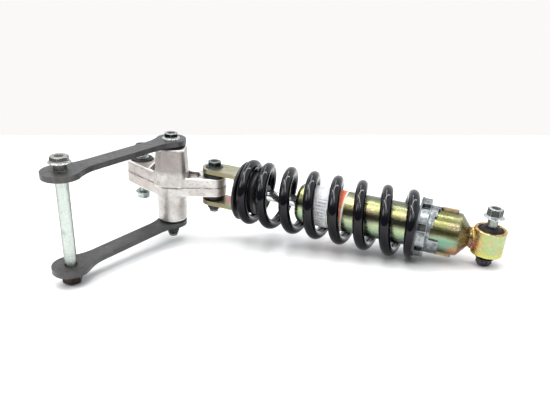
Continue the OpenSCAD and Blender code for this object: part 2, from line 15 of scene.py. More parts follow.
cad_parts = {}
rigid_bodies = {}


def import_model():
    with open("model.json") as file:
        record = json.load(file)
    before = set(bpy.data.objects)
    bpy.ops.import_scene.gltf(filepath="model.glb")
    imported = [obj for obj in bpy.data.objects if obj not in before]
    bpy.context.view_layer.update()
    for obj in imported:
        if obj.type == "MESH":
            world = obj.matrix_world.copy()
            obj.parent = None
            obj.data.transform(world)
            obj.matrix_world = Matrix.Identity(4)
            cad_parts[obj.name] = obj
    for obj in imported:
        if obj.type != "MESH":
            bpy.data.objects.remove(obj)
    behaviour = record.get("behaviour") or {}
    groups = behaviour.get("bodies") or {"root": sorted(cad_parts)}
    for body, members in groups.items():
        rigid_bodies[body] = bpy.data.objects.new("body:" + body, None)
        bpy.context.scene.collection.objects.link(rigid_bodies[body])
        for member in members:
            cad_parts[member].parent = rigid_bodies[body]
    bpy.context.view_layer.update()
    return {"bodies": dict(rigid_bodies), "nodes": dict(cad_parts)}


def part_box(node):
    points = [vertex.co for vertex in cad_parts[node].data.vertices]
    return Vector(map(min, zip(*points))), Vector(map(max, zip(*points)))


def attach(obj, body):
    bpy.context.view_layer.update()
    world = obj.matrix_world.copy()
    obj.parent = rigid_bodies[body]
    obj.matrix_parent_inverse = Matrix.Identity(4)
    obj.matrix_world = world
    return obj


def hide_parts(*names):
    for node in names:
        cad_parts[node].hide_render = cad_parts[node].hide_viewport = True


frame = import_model()
MM = 0.001


def rgb(code):
    """An sRGB hex colour as linear RGBA."""
    parts = [int(code[i:i + 2], 16) / 255 for i in (0, 2, 4)]
    return tuple(c / 12.92 if c <= 0.04045 else ((c + 0.055) / 1.055) ** 2.4 for c in parts) + (1.0,)


def box_mm(node):
    """A CAD node's lowest and highest corners in millimetres."""
    low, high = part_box(node)
    return low / MM, high / MM


def scene_object(name, data):
    obj = bpy.data.objects.new(name, data)
    bpy.context.scene.collection.objects.link(obj)
    return obj


class Nodes:
    """Short calls that add nodes to a tree. Any value may be a socket, and any colour an sRGB hex code."""

    def __init__(self, tree):
        self.tree = tree

    def put(self, socket, value):
        if isinstance(value, bpy.types.NodeSocket):
            self.tree.links.new(value, socket)
        else:
            socket.default_value = rgb(value) if isinstance(value, str) else value

    def node(self, kind, inputs=None, **settings):
        made = self.tree.nodes.new(kind)
        for key, value in settings.items():
            setattr(made, key, value)
        for key, value in (inputs or {}).items():
            self.put(made.inputs[key], value)
        return made

    def split(self, value):
        return self.node("ShaderNodeSeparateXYZ", {0: value}).outputs

    def calc(self, operation, a, b=0.0):
        return self.node("ShaderNodeMath", {0: a, 1: b}, operation=operation).outputs[0]

    def times(self, product, *factors):
        for factor in factors:
            product = self.calc("MULTIPLY", product, factor)
        return product

    def span(self, value, low, high, out_low=0.0, out_high=1.0):
        """Smooth step from out_low at low to out_high at high."""
        inputs = {"Value": value, "From Min": low, "From Max": high, "To Min": out_low, "To Max": out_high}
        return self.node("ShaderNodeMapRange", inputs, interpolation_type="SMOOTHSTEP").outputs["Result"]

    def window(self, value, low, full_low, full_high, high):
        """1 from full_low to full_high, falling to 0 at low and at high."""
        return self.times(self.span(value, low, full_low), self.span(value, high, full_high))


class Look(Nodes):
    """A procedural material, with its texture space in millimetres of the row frame."""

    def __init__(self, name):
        self.mat = bpy.data.materials.new(name)
        self.mat.use_nodes = True
        super().__init__(self.mat.node_tree)
        self.bsdf = self.tree.nodes["Principled BSDF"]
        here = self.node("ShaderNodeTexCoord").outputs["Object"]
        self.place = self.vector("SCALE", {0: here, "Scale": 1 / MM})
        self.x, self.y, self.z = self.split(self.place)

    def vector(self, operation, inputs):
        output = "Value" if operation == "DOT_PRODUCT" else "Vector"
        return self.node("ShaderNodeVectorMath", inputs, operation=operation).outputs[output]

    def noise(self, size, detail=3.0, rough=0.55, stretch=None, warp=0.0):
        """Noise with features about size millimetres across, between 0 and 1."""
        where = self.vector("MULTIPLY", {0: self.place, 1: stretch}) if stretch else self.place
        inputs = {"Vector": where, "Scale": 1 / size, "Detail": detail, "Roughness": rough,
                  "Distortion": warp}
        return self.node("ShaderNodeTexNoise", inputs).outputs["Fac"]

    def patchy(self, size, low, high, detail=3.0):
        """A roughness that wanders from low to high in patches about size millimetres across."""
        return self.span(self.noise(size, detail), 0.3, 0.7, low, high)

    def ramp(self, value, stops):
        """Colours along value. They are set after every stop is in place, as a moved stop can change rank."""
        made = self.node("ShaderNodeValToRGB", {0: value})
        elements = made.color_ramp.elements
        while len(elements) < len(stops):
            elements.new(0.5)
        for element, (at, code) in zip(elements, stops):
            element.position = at
        for element, (at, code) in zip(elements, stops):
            element.color = rgb(code)
        return made.outputs[0]

    def mix(self, amount, a, b):
        return self.node("ShaderNodeMix", {0: amount, 6: a, 7: b}, data_type="RGBA").outputs[2]

    def tint(self, color, mask, amount, tone):
        """The colour, turned towards tone by amount where mask is 1."""
        return self.mix(self.times(mask, amount), color, tone)

    def normal(self):
        return self.node("ShaderNodeNewGeometry").outputs["Normal"]

    def facing_up(self):
        """1 on faces that look up, 0 on upright ones and -1 on faces that look down."""
        return self.split(self.normal())[2]

    def rounded(self, radius):
        """The normal of the shape as if its corners had this radius in millimetres."""
        return self.node("ShaderNodeBevel", {"Radius": radius * MM}, samples=6).outputs[0]

    def edges(self, radius):
        """1 on the corners of the shape and 0 on its faces."""
        return self.span(self.vector("DOT_PRODUCT", {0: self.rounded(radius), 1: self.normal()}), 0.995, 0.90)

    def crests(self, low, high):
        """0 to 1 as the casting's crest attribute goes from low to high millimetres."""
        return self.span(self.node("ShaderNodeAttribute", attribute_name="crest").outputs["Fac"], low, high)

    def corner_shade(self, distance):
        """1 deep in corners between pieces and 0 on open faces: the mask for painted shade in corners."""
        made = self.node("ShaderNodeAmbientOcclusion", {"Distance": distance * MM}, samples=6)
        return self.span(made.outputs["AO"], 0.75, 0.25)

    def turn(self, across, up, warp, size):
        """The turn from 0 to 1 about an axis, from straight down through across, up and away.

        It wanders by warp of a turn, in waves about size millimetres long.
        """
        share = self.calc("ADD", self.calc("DIVIDE", self.calc("ARCTAN2", up, across), 2 * math.pi), 0.25)
        wander = self.times(self.calc("SUBTRACT", self.noise(size), 0.5), warp)
        return self.calc("FRACT", self.calc("ADD", share, wander))

    def facets(self, node):
        """A tone from 0 to 1 for each flat of a hexagon, and the distance from its axis."""
        seed = 3.3
        low, high = box_mm(node)
        x = self.calc("SUBTRACT", self.x, (low.x + high.x) / 2)
        y = self.calc("SUBTRACT", self.y, (low.y + high.y) / 2)
        flat = self.calc("FLOOR", self.calc("DIVIDE", self.calc("ARCTAN2", y, x), math.pi / 3))
        inputs = {"W": self.calc("ADD", flat, seed)}
        tone = self.node("ShaderNodeTexWhiteNoise", inputs, noise_dimensions="1D")
        square = self.calc("ADD", self.times(x, x), self.times(y, y))
        return tone.outputs["Value"], self.calc("SQRT", square)

    def finish(self, color, rough, metal=0.0, height=None, depth=0.05, round_mm=0.0, **more):
        """The finished material: depth is the bump's in millimetres, and round_mm softens its corners."""
        self.put(self.bsdf.inputs["Base Color"], color)
        self.put(self.bsdf.inputs["Roughness"], rough)
        self.put(self.bsdf.inputs["Metallic"], metal)
        normal = self.rounded(round_mm) if round_mm else None
        if height is not None:
            made = self.node("ShaderNodeBump", {"Height": height, "Distance": depth * MM})
            if normal is not None:
                self.put(made.inputs["Normal"], normal)
            normal = made.outputs[0]
        if normal is not None:
            self.put(self.bsdf.inputs["Normal"], normal)
        for key, value in more.items():
            self.put(self.bsdf.inputs[key.replace("_", " ")], value)
        return self.mat


# ---- materials ----

HOUSING_MM, CONE_MM = -62.0, -29.0  # where the wide housing and its cone start, along x
FRAME_ARM_MM = -350.0               # the rocker's frame arm lies beyond this, along x

# Height of each bolt's head, from its top to the underside of its flange, and the flanges' thickness
HEADS_MM = {"upper_bolt": 9.4, "clevis_bolt": 7.0, "frame_bolt": 6.3, "centre_bolt": 6.3,
            "swingarm_bolt": 6.1}
FLANGE_MM = 2.4


def plated_tube():
    """Yellow-passivated zinc on the damper tube, housing and cone: bands of colour run round the axis, partly
    the plating's own tints and partly painted highlight, painted reflection and painted shade.
    """
    look = Look("yellow_zinc_tube")
    share = look.turn(look.y, look.z, warp=0.05, size=22.0)
    # Round the axis, the plating's tints laid out as painted light: a painted highlight on top, a dark band
    # of painted reflection below it, a pale band of painted floor reflection and painted shade underneath.
    tube = look.ramp(share, [
        (0.00, "4a5040"), (0.10, "5a7464"), (0.20, "789484"), (0.30, "8a8a6c"), (0.40, "6f7460"),
        (0.49, "6f7d73"), (0.54, "7c8062"), (0.60, "8e8e64"), (0.645, "72704a"), (0.685, "4c4a3c"),
        (0.715, "5c5c4c"), (0.75, "a4b48c"), (0.80, "93a88a"), (0.86, "5c6e60"), (0.97, "3e4c3e")])
    housing = look.span(look.x, HOUSING_MM - 4.0, HOUSING_MM + 4.0)
    yellow = look.times(housing, look.span(share, 0.74, 0.68))
    tube = look.tint(tube, yellow, 0.5, "7a7a42")
    # The housing's lower band: teal plating tint with a painted reflection of the floor, and painted shade
    # towards the bottom.
    teal = look.times(housing, look.span(share, 0.72, 0.76))
    sea = look.ramp(share, [(0.75, "5f8f7c"), (0.81, "6f9c84"), (0.86, "2c5248"), (1.0, "2c4a40")])
    tube = look.tint(tube, teal, 0.9, sea)
    cone = look.ramp(share, [
        (0.00, "5c523d"), (0.14, "886a54"), (0.28, "7a7050"), (0.45, "706b4b"), (0.56, "86825f"),
        (0.66, "7d7854"), (0.74, "675e45"), (0.80, "8a6c54"), (0.86, "a57e5e"), (0.93, "7a624c")])
    color = look.mix(look.span(look.x, CONE_MM - 4.0, CONE_MM + 4.0), tube, cone)
    shoulder = look.window(look.x, CONE_MM - 13.0, CONE_MM - 2.0, CONE_MM, CONE_MM + 9.0)
    lower = look.window(share, 0.76, 0.82, 0.90, 0.98)
    color = look.tint(color, look.times(shoulder, lower), 0.85, "b98460")
    patches = look.span(look.noise(9.0, stretch=(0.5, 1, 1)), 0.52, 0.72)
    color = look.tint(color, patches, 0.3, "a58a8c")
    green = look.span(look.noise(7.0, stretch=(0.35, 1.4, 1.4)), 0.55, 0.75)
    color = look.tint(color, green, 0.3, "8fb391")
    spots = look.span(look.noise(1.4, detail=4.0), 0.66, 0.74)
    color = look.tint(color, spots, 0.7, "3d3a24")
    # Painted shade in the corners between pieces.
    color = look.tint(color, look.corner_shade(2.2), 0.7, "2b2a1c")
    rough = look.span(look.noise(3.0, stretch=(0.12, 1, 1)), 0.3, 0.8, 0.22, 0.38)
    return look.finish(color, rough, metal=0.96, height=look.noise(16.0, detail=2.0), depth=0.5, round_mm=0.4)


def plated_eye():
    """The same plating on the upper eye, whose axis is upright: orange to yellow-green round the barrel."""
    look = Look("yellow_zinc_eye")
    share = look.turn(look.x, look.y, warp=0.07, size=9.0)
    side = look.ramp(share, [
        (0.00, "9db17e"), (0.08, "a0b384"), (0.16, "a2a868"), (0.24, "969456"), (0.32, "79764a"),
        (0.50, "76804e"), (0.68, "6a4636"), (0.76, "935a43"), (0.83, "c98d63"), (0.89, "c9a866"),
        (0.95, "a5b076")])
    blush = look.span(look.noise(6.0, warp=0.6), 0.5, 0.66)
    side = look.tint(side, blush, 0.5, "cf9a74")
    mint = look.span(look.noise(8.0, warp=0.4), 0.54, 0.68)
    side = look.tint(side, mint, 0.55, "9cc4a0")
    bottom = box_mm("upper_eye")[0].z
    side = look.tint(side, look.span(look.z, bottom + 7.0, bottom + 1.0), 0.55, "cfca50")
    end_face = look.span(look.calc("ABSOLUTE", look.facing_up()), 0.5, 0.8)
    ochre = look.mix(look.span(look.noise(4.5, warp=0.5), 0.42, 0.6), "d2b878", "98693f")
    color = look.mix(end_face, side, ochre)
    color = look.tint(color, look.edges(0.5), 0.65, "e8c98c")
    # Painted shade in the corners between pieces.
    color = look.tint(color, look.corner_shade(3.0), 0.7, "33251a")
    rough = look.patchy(2.5, 0.22, 0.38)
    return look.finish(color, rough, metal=0.9, height=look.noise(5.0), depth=0.25, round_mm=0.35)


def plated_flat(look, base, warm, cool, dirt_and_shade, wear_and_edge_shading):
    """The duller yellow plating of machined steel parts, as a colour, with dirt specks, tinted corners and
    painted shade in the corners between pieces.
    """
    color = look.mix(look.span(look.noise(8.0, warp=0.5), 0.4, 0.65), base, warm)
    color = look.tint(color, look.span(look.noise(5.0, stretch=(0.5, 1, 2)), 0.5, 0.7), 0.6, cool)
    color = look.tint(color, look.span(look.noise(1.1), 0.58, 0.72), 0.7, dirt_and_shade)
    # Corners tinted: pale on the clevis, and a dark outline of painted shade on the lugs.
    color = look.tint(color, look.edges(0.4), 0.6, wear_and_edge_shading)
    # Painted shade in the corners between pieces, in the same dark tone as the dirt specks.
    return look.tint(color, look.corner_shade(5.0), 0.85, dirt_and_shade)


def plated_flat_finish(look, color):
    rough = look.patchy(1.8, 0.28, 0.5)
    return look.finish(color, rough, metal=0.85, height=look.noise(0.9), depth=0.06, round_mm=0.35)


def plated_lugs():
    look = Look("plated_lug")
    # The lugs' dark corner tones: a painted shade outline round them and painted shade between pieces.
    color = plated_flat(look, "a8916a", "b8a27c", "8a7a56", dirt_and_shade="2a2014", wear_and_edge_shading="4c3a22")
    return plated_flat_finish(look, color)


def plated_clevis():
    """Yellower and darker on the clevis's upright faces, partly the plating's tint and partly painted shade,
    with a dab of inspection paint inside its lower ear.
    """
    look = Look("yellow_zinc_clevis")
    color = plated_flat(look, "a39f88", "afab98", "8a876a", dirt_and_shade="3c3826", wear_and_edge_shading="e8e3bb")
    # Upright faces darker and yellower than the tops: the plating's tint and painted shade.
    upright = look.span(look.calc("ABSOLUTE", look.facing_up()), 0.6, 0.3)
    color = look.tint(color, upright, 0.45, "867a4a")
    ear = box_mm("clevis_sleeve")[0]
    level = look.window(look.z, ear.z - 1.4, ear.z - 0.8, ear.z + 0.4, ear.z + 1.2)
    along = look.window(look.x, ear.x + 22.0, ear.x + 23.5, ear.x + 32.5, ear.x + 34.0)
    far_side = look.span(look.y, -5.0, -3.0)
    ragged = look.span(look.noise(4.0, detail=4.0), 0.36, 0.44)
    color = look.mix(look.times(level, along, far_side, ragged), color, "cc8580")
    return plated_flat_finish(look, color)


def weld_metal():
    """Pinkish brown heat tints, yellower on top and dark in the pores."""
    look = Look("weld_metal")
    color = look.mix(look.span(look.noise(2.2), 0.4, 0.6), "8c5a50", "b98478")
    color = look.mix(look.span(look.z, 1.0, 6.0), color, "b9a05c")
    color = look.tint(color, look.span(look.noise(1.0), 0.55, 0.68), 0.8, "3a241e")
    return look.finish(color, look.patchy(1.5, 0.22, 0.5), metal=0.85, height=look.noise(0.8), depth=0.12)


def cast_ring():
    """Grainy bright zinc casting of the preload ring, with painted shade in its notches and painted
    highlights on its edges.
    """
    look = Look("cast_zinc_ring")
    blotch = look.noise(4.5)
    color = look.mix(look.span(blotch, 0.35, 0.65), "666a6c", "9a9e9f")
    color = look.tint(color, look.span(look.noise(0.8, detail=4.0, rough=0.6), 0.56, 0.68), 0.6, "5f6567")
    # Painted shade in the notches and corners between pieces.
    color = look.tint(color, look.corner_shade(5.0), 0.95, "1a1d1f")
    # Painted highlights on the edges.
    color = look.tint(color, look.edges(0.5), 0.75, "f2f4f4")
    rough = look.span(blotch, 0.3, 0.7, 0.42, 0.28)
    return look.finish(color, rough, metal=0.9, height=look.noise(1.0, detail=5.0), depth=0.16, round_mm=0.5)


def cast_aluminium():
    """Raw grey-pink aluminium of the rocker, with pits and a parting line, painted highlights on its rounded
    rims, and painted shade in its pockets, in its corners and on its tall boss.
    """
    look = Look("cast_aluminium")
    color = look.mix(look.span(look.noise(16.0), 0.35, 0.65), "bbb7b3", "d3d0cc")
    color = look.mix(look.span(look.x, FRAME_ARM_MM, FRAME_ARM_MM - 28.0, 0.0, 0.5), color, "a3958c")
    pink = look.span(look.noise(11.0, detail=2.0, warp=0.8), 0.5, 0.68)
    color = look.tint(color, pink, 0.4, "b7a69e")
    stain = look.span(look.noise(3.4, detail=5.0, rough=0.62), 0.52, 0.7)
    color = look.tint(color, stain, 0.5, "7c7069")
    # Painted shade in the pockets.
    color = look.tint(color, look.crests(-0.12, -0.5), 0.85, "5c524d")
    # Painted shade on the tall boss above the arms.
    tall_boss_shade = look.span(look.z, 13.0, 20.0)
    color = look.tint(color, tall_boss_shade, 0.72, "857c78")
    pits = look.span(look.noise(0.9), 0.66, 0.74)
    color = look.tint(color, pits, 0.7, "5a504b")
    # Painted highlights on the rounded rims.
    color = look.tint(color, look.crests(0.22, 0.5), 0.95, "f4f2ef")
    ragged = look.times(look.calc("SUBTRACT", look.noise(2.0), 0.5), 1.3)
    from_parting = look.calc("ABSOLUTE", look.calc("ADD", look.z, ragged))
    line = look.times(look.span(from_parting, 0.8, 0.15), look.span(look.noise(4.0), 0.34, 0.52))
    color = look.tint(color, line, 0.85, "3f3733")
    # Painted shade in the corners between pieces.
    color = look.tint(color, look.corner_shade(9.0), 0.8, "352d29")
    height = look.calc("SUBTRACT", look.noise(1.1, detail=4.0), look.times(pits, 0.6))
    return look.finish(color, look.patchy(2.6, 0.30, 0.46), metal=0.85, height=height, depth=0.13)


def painted_bar():
    """Satin dark grey paint of the tie rods, rubbed on the corners and brown at the swingarm's end, with
    painted shade in the corners between pieces.
    """
    look = Look("grey_bar_paint")
    color = look.mix(look.span(look.noise(18.0), 0.35, 0.65), "363637", "444343")
    scuff = look.span(look.noise(6.0, detail=5.0, rough=0.65), 0.56, 0.72)
    color = look.tint(color, scuff, 0.35, "6d6a68")
    worn = look.times(look.edges(0.5), look.span(look.noise(3.0), 0.38, 0.62))
    color = look.tint(color, worn, 0.55, "857b72")
    end = box_mm("lower_tie_rod")[0].y
    near_end = look.span(look.y, end + 36.0, end + 8.0)
    brown = look.times(near_end, 0.18, look.span(look.noise(5.0), 0.4, 0.65))
    color = look.mix(brown, color, "6b5a4e")
    # Painted shade in the corners between pieces.
    color = look.tint(color, look.corner_shade(4.0), 0.8, "1b1b1c")
    rough = look.patchy(4.0, 0.30, 0.46, detail=4.0)
    return look.finish(color, rough, metal=0.1, height=look.noise(0.7, detail=4.0), depth=0.05, round_mm=0.55)


def spring_paint():
    """Thick black paint with a few grey rubs, glossiest on top, where the lamps are reflected."""
    look = Look("black_spring_paint")
    color = look.mix(look.span(look.noise(14.0), 0.35, 0.65), "040409", "07070f")
    rub = look.span(look.noise(2.2, detail=6.0, rough=0.7), 0.68, 0.78)
    rub = look.times(rub, look.span(look.noise(24.0), 0.5, 0.62))
    color = look.tint(color, rub, 0.6, "8b8c90")
    gloss = look.span(look.facing_up(), -0.3, 0.5, 0.12, 0.7)
    return look.finish(color, look.patchy(5.0, 0.13, 0.22, detail=4.0), height=look.noise(3.0, detail=4.0),
                       depth=0.03, Coat_Weight=gloss, Coat_Roughness=0.03, Specular_IOR_Level=0.08)


def black_part(name, color, rough, grain=1.0, depth=0.05, metal=0.0, dust="4a4846"):
    """Rubber, plastic or dark plated pieces: a dark body with a little dust and sheen."""
    look = Look(name)
    tone = look.mix(look.span(look.noise(6.0, detail=4.0), 0.4, 0.7), color, dust)
    tone = look.mix(0.7, tone, color)
    tone = look.tint(tone, look.edges(0.4), 0.35, dust)
    return look.finish(tone, look.patchy(2.0, rough, rough + 0.16), metal=metal,
                       height=look.noise(grain, detail=4.0), depth=depth, round_mm=0.4)


def bright_steel(name, base="c3c8c6", dark="6e7572", rough=0.24, dirt_and_shade=0.5):
    """Turned or zinc-plated steel with grey stains, and painted shade in the corners between pieces."""
    look = Look(name)
    color = look.mix(look.span(look.noise(5.0, detail=4.0), 0.4, 0.65), base, dark)
    color = look.mix(0.55, color, base)
    # Painted shade in the corners between pieces; the fourth argument sets how dark.
    color = look.tint(color, look.corner_shade(3.0), dirt_and_shade, "1e1d1b")
    return look.finish(color, look.patchy(1.6, rough, rough + 0.14), metal=0.95, height=look.noise(0.6),
                       depth=0.03, round_mm=0.3)


def bolt_look(node, hexagon, flange, shank, grime_and_shade, wear_and_edge_shading="d9dcd8", shank_dirt=0.3, collar=0.0):
    """A flange bolt: hexagon, flange and shank each in their own tone, split by height.

    The top of the hexagon is dished, with painted shade in the dish and a painted highlight round its rim.
    Some flats, the shank's sides and the corners between pieces get painted shade, and the corners are tinted
    by wear and painted highlight. collar is how many millimetres of shank under the head are darker.
    """
    look = Look(node + "_steel")
    top = box_mm(node)[1].z
    seat = top - HEADS_MM[node]
    mottle = look.span(look.noise(1.6, detail=5.0, rough=0.62), 0.42, 0.66)
    tone, radius = look.facets(node)
    hexed = look.mix(mottle, hexagon, grime_and_shade)
    # Painted shade on some flats of the hexagon.
    hexed = look.mix(look.span(tone, 0.62, 0.5, 0.0, 0.75), hexed, grime_and_shade)
    # Painted shade in the dish on top of the hexagon, and a painted highlight round its rim.
    dish = look.times(look.span(radius, 4.4, 3.7), look.span(look.z, top - 1.0, top - 0.5))
    rim = look.times(look.span(radius, 4.2, 4.6), look.span(look.z, top - 0.25, top - 0.1))
    hexed = look.tint(hexed, dish, 0.75, grime_and_shade)
    hexed = look.tint(hexed, rim, 0.7, wear_and_edge_shading)
    flanged = look.tint(flange, mottle, 0.5, grime_and_shade)
    stem = look.mix(look.span(look.noise(7.0, detail=4.0, stretch=(1, 1, 0.6)), 0.5, 0.75), shank, grime_and_shade)
    stem = look.mix(shank_dirt, shank, stem)
    # Painted shade on the shank's sides, which turn away from the view.
    facing = look.node("ShaderNodeLayerWeight", {"Blend": 0.5}).outputs["Facing"]
    stem = look.mix(look.span(facing, 0.3, 0.8, 0.0, 0.7), stem, grime_and_shade)
    if collar:
        # The shank darker for collar millimetres under the head.
        dark_collar = look.span(look.z, seat - collar, seat - collar + 0.4)
        stem = look.tint(stem, dark_collar, 0.85, grime_and_shade)
    specks = look.span(look.noise(1.5), 0.67, 0.72)
    stem = look.tint(stem, specks, 0.8, "3a3f38")
    color = look.mix(look.span(look.z, seat + FLANGE_MM - 0.3, seat + FLANGE_MM + 0.3), flanged, hexed)
    color = look.mix(look.span(look.z, seat - 0.05, seat - 0.3), color, stem)
    # Corners tinted, partly wear and partly painted highlight; dark rather than light on the frame bolt.
    color = look.tint(color, look.edges(0.6), 0.9, wear_and_edge_shading)
    # Painted shade in the corners between pieces.
    color = look.tint(color, look.corner_shade(3.0), 0.9, "1d1c1a")
    return look.finish(color, look.patchy(1.5, 0.24, 0.46, detail=4.0), metal=0.85,
                       height=look.noise(0.7, detail=4.0), depth=0.06, round_mm=0.3)


def nut_look(name, base, patch, wear_and_edge_shading="8d908e", metal=0.7):
    """A plated nut in two patchy tones, its corners tinted by wear and painted highlight, with painted shade
    in the corners between pieces.
    """
    look = Look(name)
    color = look.mix(look.span(look.noise(2.6, detail=5.0), 0.42, 0.62), base, patch)
    # Corners tinted, partly wear and partly painted highlight.
    color = look.tint(color, look.edges(0.4), 0.5, wear_and_edge_shading)
    # Painted shade in the corners between pieces.
    color = look.tint(color, look.corner_shade(2.5), 0.7, "141312")
    return look.finish(color, look.patchy(1.6, 0.26, 0.46), metal=metal, height=look.noise(0.6, detail=4.0),
                       depth=0.05, round_mm=0.35)


def white_sticker():
    """A paper sticker wrapped round the tube: worn paper with rows of plain printed bars."""
    row_mm, margin, fade = 3.6, 1.6, 0.6
    look = Look("white_sticker")
    low, high = box_mm("white_label")
    around = look.times(look.calc("ARCTAN2", look.z, look.y), (high.y - low.y) / 2)
    along = look.calc("SUBTRACT", look.x, low.x)
    rows = look.calc("DIVIDE", around, row_mm)
    line = look.window(look.calc("FRACT", rows), 0.18, 0.26, 0.58, 0.66)
    where = look.node("ShaderNodeCombineXYZ", {0: look.times(along, 0.9), 1: look.calc("FLOOR", rows)})
    bars = look.node("ShaderNodeTexNoise", {"Vector": where.outputs[0], "Scale": 1.1, "Detail": 1.0})
    far_margin = high.x - low.x - margin
    inside = look.window(along, margin, margin + fade, far_margin - fade, far_margin)
    inside = look.times(inside, look.span(look.z, 16.0, 14.0))
    printed = look.times(line, look.span(bars.outputs["Fac"], 0.44, 0.5), inside)
    color = look.mix(look.span(look.noise(5.0, detail=4.0), 0.42, 0.7), "d9dade", "c4c4c2")
    color = look.tint(color, printed, 0.75, "6f6f74")
    # Grime patches on the paper.
    grime_and_shade = look.span(look.noise(2.6, detail=5.0, rough=0.65), 0.56, 0.7)
    color = look.tint(color, grime_and_shade, 0.6, "6f6558")
    return look.finish(color, look.patchy(3.0, 0.42, 0.6), height=look.noise(1.0), depth=0.03, round_mm=0.2)


def orange_sticker():
    """Red-orange paper with dark scuffs, a pale strip at each edge and one pale bar."""
    look = Look("orange_sticker")
    low, high = box_mm("orange_label")
    color = look.mix(look.span(look.noise(6.0, detail=4.0), 0.4, 0.65), "d8572f", "e7805a")
    scuff = look.span(look.noise(3.2, detail=5.0, rough=0.66), 0.52, 0.64)
    color = look.tint(color, scuff, 0.65, "8a5a44")
    strips = look.calc("ADD", look.span(look.x, low.x + 1.4, low.x + 1.0),
                       look.span(look.x, high.x - 2.0, high.x - 1.6))
    color = look.mix(strips, color, "e6ddd0")
    bar = look.span(look.calc("ABSOLUTE", look.calc("SUBTRACT", look.z, 9.0)), 1.6, 1.1)
    color = look.tint(color, bar, 0.3, "f0e6da")
    return look.finish(color, look.patchy(2.0, 0.4, 0.58), height=look.noise(1.2), depth=0.04, round_mm=0.2)


tube_look = plated_tube()
clevis_look = plated_clevis()
steel_look = bright_steel("turned_steel")
silver_look = bright_steel("clear_zinc_plate", base="cfd6d4", dark="8d9693", rough=0.28)
chrome_look = bright_steel("rod_chrome", base="d9dadb", dark="c4c6c8", rough=0.06, dirt_and_shade=0.3)
rubber_look = black_part("seal_rubber", "0b0b0c", 0.38, dust="2c2a2a")
plastic_look = black_part("black_plastic", "0e0e10", 0.34, dust="2b2b2d")
black_plate_look = black_part("black_zinc_plate", "17181a", 0.3, metal=0.3, dust="3d3d3e")
bush_look = black_part("bush_rubber", "1a0e10", 0.42, grain=2.2, depth=0.18, dust="3b2426")
alloy_look = bright_steel("machined_alloy", base="c8c8c6", dark="a3a3a0", rough=0.3)
bronze_look = bright_steel("sintered_bronze", base="a5793f", dark="7d5a30", rough=0.35)
band_look = black_part("piston_band", "1c1a17", 0.4)
shim_look = bright_steel("shim_steel", base="b9bcc0", dark="8f9296", rough=0.2)

LOOKS = {
    "upper_eye": plated_eye(),
    "upper_housing": tube_look,
    "damper_tube": tube_look,
    "tube_end_cap": tube_look,
    "cam_stop_lugs": plated_lugs(),
    "eye_rubber_bush": bush_look,
    "eye_sleeve": bright_steel("dark_sleeve_steel", base="3b3d40", dark="26272a", rough=0.34),
    "upper_bolt": bolt_look("upper_bolt", "727776", "c6cac8", "979c98", "2a2c2b"),
    "upper_nut": nut_look("dark_violet_nut", "2f2d35", "4a4750", wear_and_edge_shading="8a8892"),
    "preload_cam_ring": cast_ring(),
    "upper_spring_seat": bright_steel("plated_seat", base="6f7374", dark="4a4e50", rough=0.34),
    "lower_spring_seat": black_plate_look,
    "spring_guide": plastic_look,
    "bump_stop": rubber_look,
    "damper_rod": chrome_look,
    "clevis": clevis_look,
    "rod_locknut": silver_look,
    "clevis_sleeve": steel_look,
    "clevis_bolt": bolt_look("clevis_bolt", "343b39", "3b423f", "8d9189", "1b201e", wear_and_edge_shading="8c9591"),
    "clevis_nut": nut_look("dark_taper_nut", "2a2c2d", "3b3d3e"),
    "clevis_seals": rubber_look,
    "centre_seals": rubber_look,
    "frame_seals": rubber_look,
    "frame_sleeve": steel_look,
    "centre_sleeve": steel_look,
    "frame_bolt": bolt_look("frame_bolt", "2b2e2f", "4b4e4f", "b7bcb8", "202324", wear_and_edge_shading="2a2d2e"),
    "frame_nut": nut_look("silver_nut", "bcc6c6", "8b9696", wear_and_edge_shading="e4eaea", metal=0.9),
    "centre_bolt": bolt_look("centre_bolt", "34373a", "d4d7d6", "9a9d98", "16191b", wear_and_edge_shading="b9bdbd"),
    "centre_nut": nut_look("dark_centre_nut", "2e3032", "3f4143"),
    "upper_tie_rod": painted_bar(),
    "swingarm_bolt": bolt_look("swingarm_bolt", "666663", "a9aaa6", "c0c8c2", "3c3d3a", wear_and_edge_shading="b4b4b0",
                               shank_dirt=0.35, collar=7.0),
    "swingarm_nut": nut_look("brown_black_nut", "2b2220", "43332d", wear_and_edge_shading="6b5a50"),
    "white_label": white_sticker(),
    "orange_label": orange_sticker(),
    "rod_guide": alloy_look,
    "rod_bushing": bronze_look,
    "rod_oil_seal": rubber_look,
    "rod_dust_wiper": rubber_look,
    "free_piston": alloy_look,
    "free_piston_ring": band_look,
    "damper_piston": alloy_look,
    "piston_ring": band_look,
    "compression_shims": shim_look,
    "rebound_shims": shim_look,
    "piston_nut": steel_look,
    "clevis_bearing": steel_look,
    "centre_bearings": steel_look,
    "frame_bearing": steel_look,
}
LOOKS["lower_tie_rod"] = LOOKS["upper_tie_rod"]

for node, material in LOOKS.items():
    obj = frame["nodes"][node]
    if not obj.material_slots:
        obj.data.materials.append(material)
    for slot in obj.material_slots:
        slot.material = material


# ---- pieces made here ----

def mesh_piece(name, points, faces, material, body, replaced):
    """A smooth mesh that rides on body and stands for the CAD node replaced."""
    mesh = bpy.data.meshes.new(name)
    mesh.from_pydata([tuple(p) for p in points], [], faces)
    mesh.polygons.foreach_set("use_smooth", [True] * len(mesh.polygons))
    mesh.update()
    obj = scene_object(name, mesh)
    mesh.materials.append(material)
    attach(obj, body)
    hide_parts(replaced)
    return obj


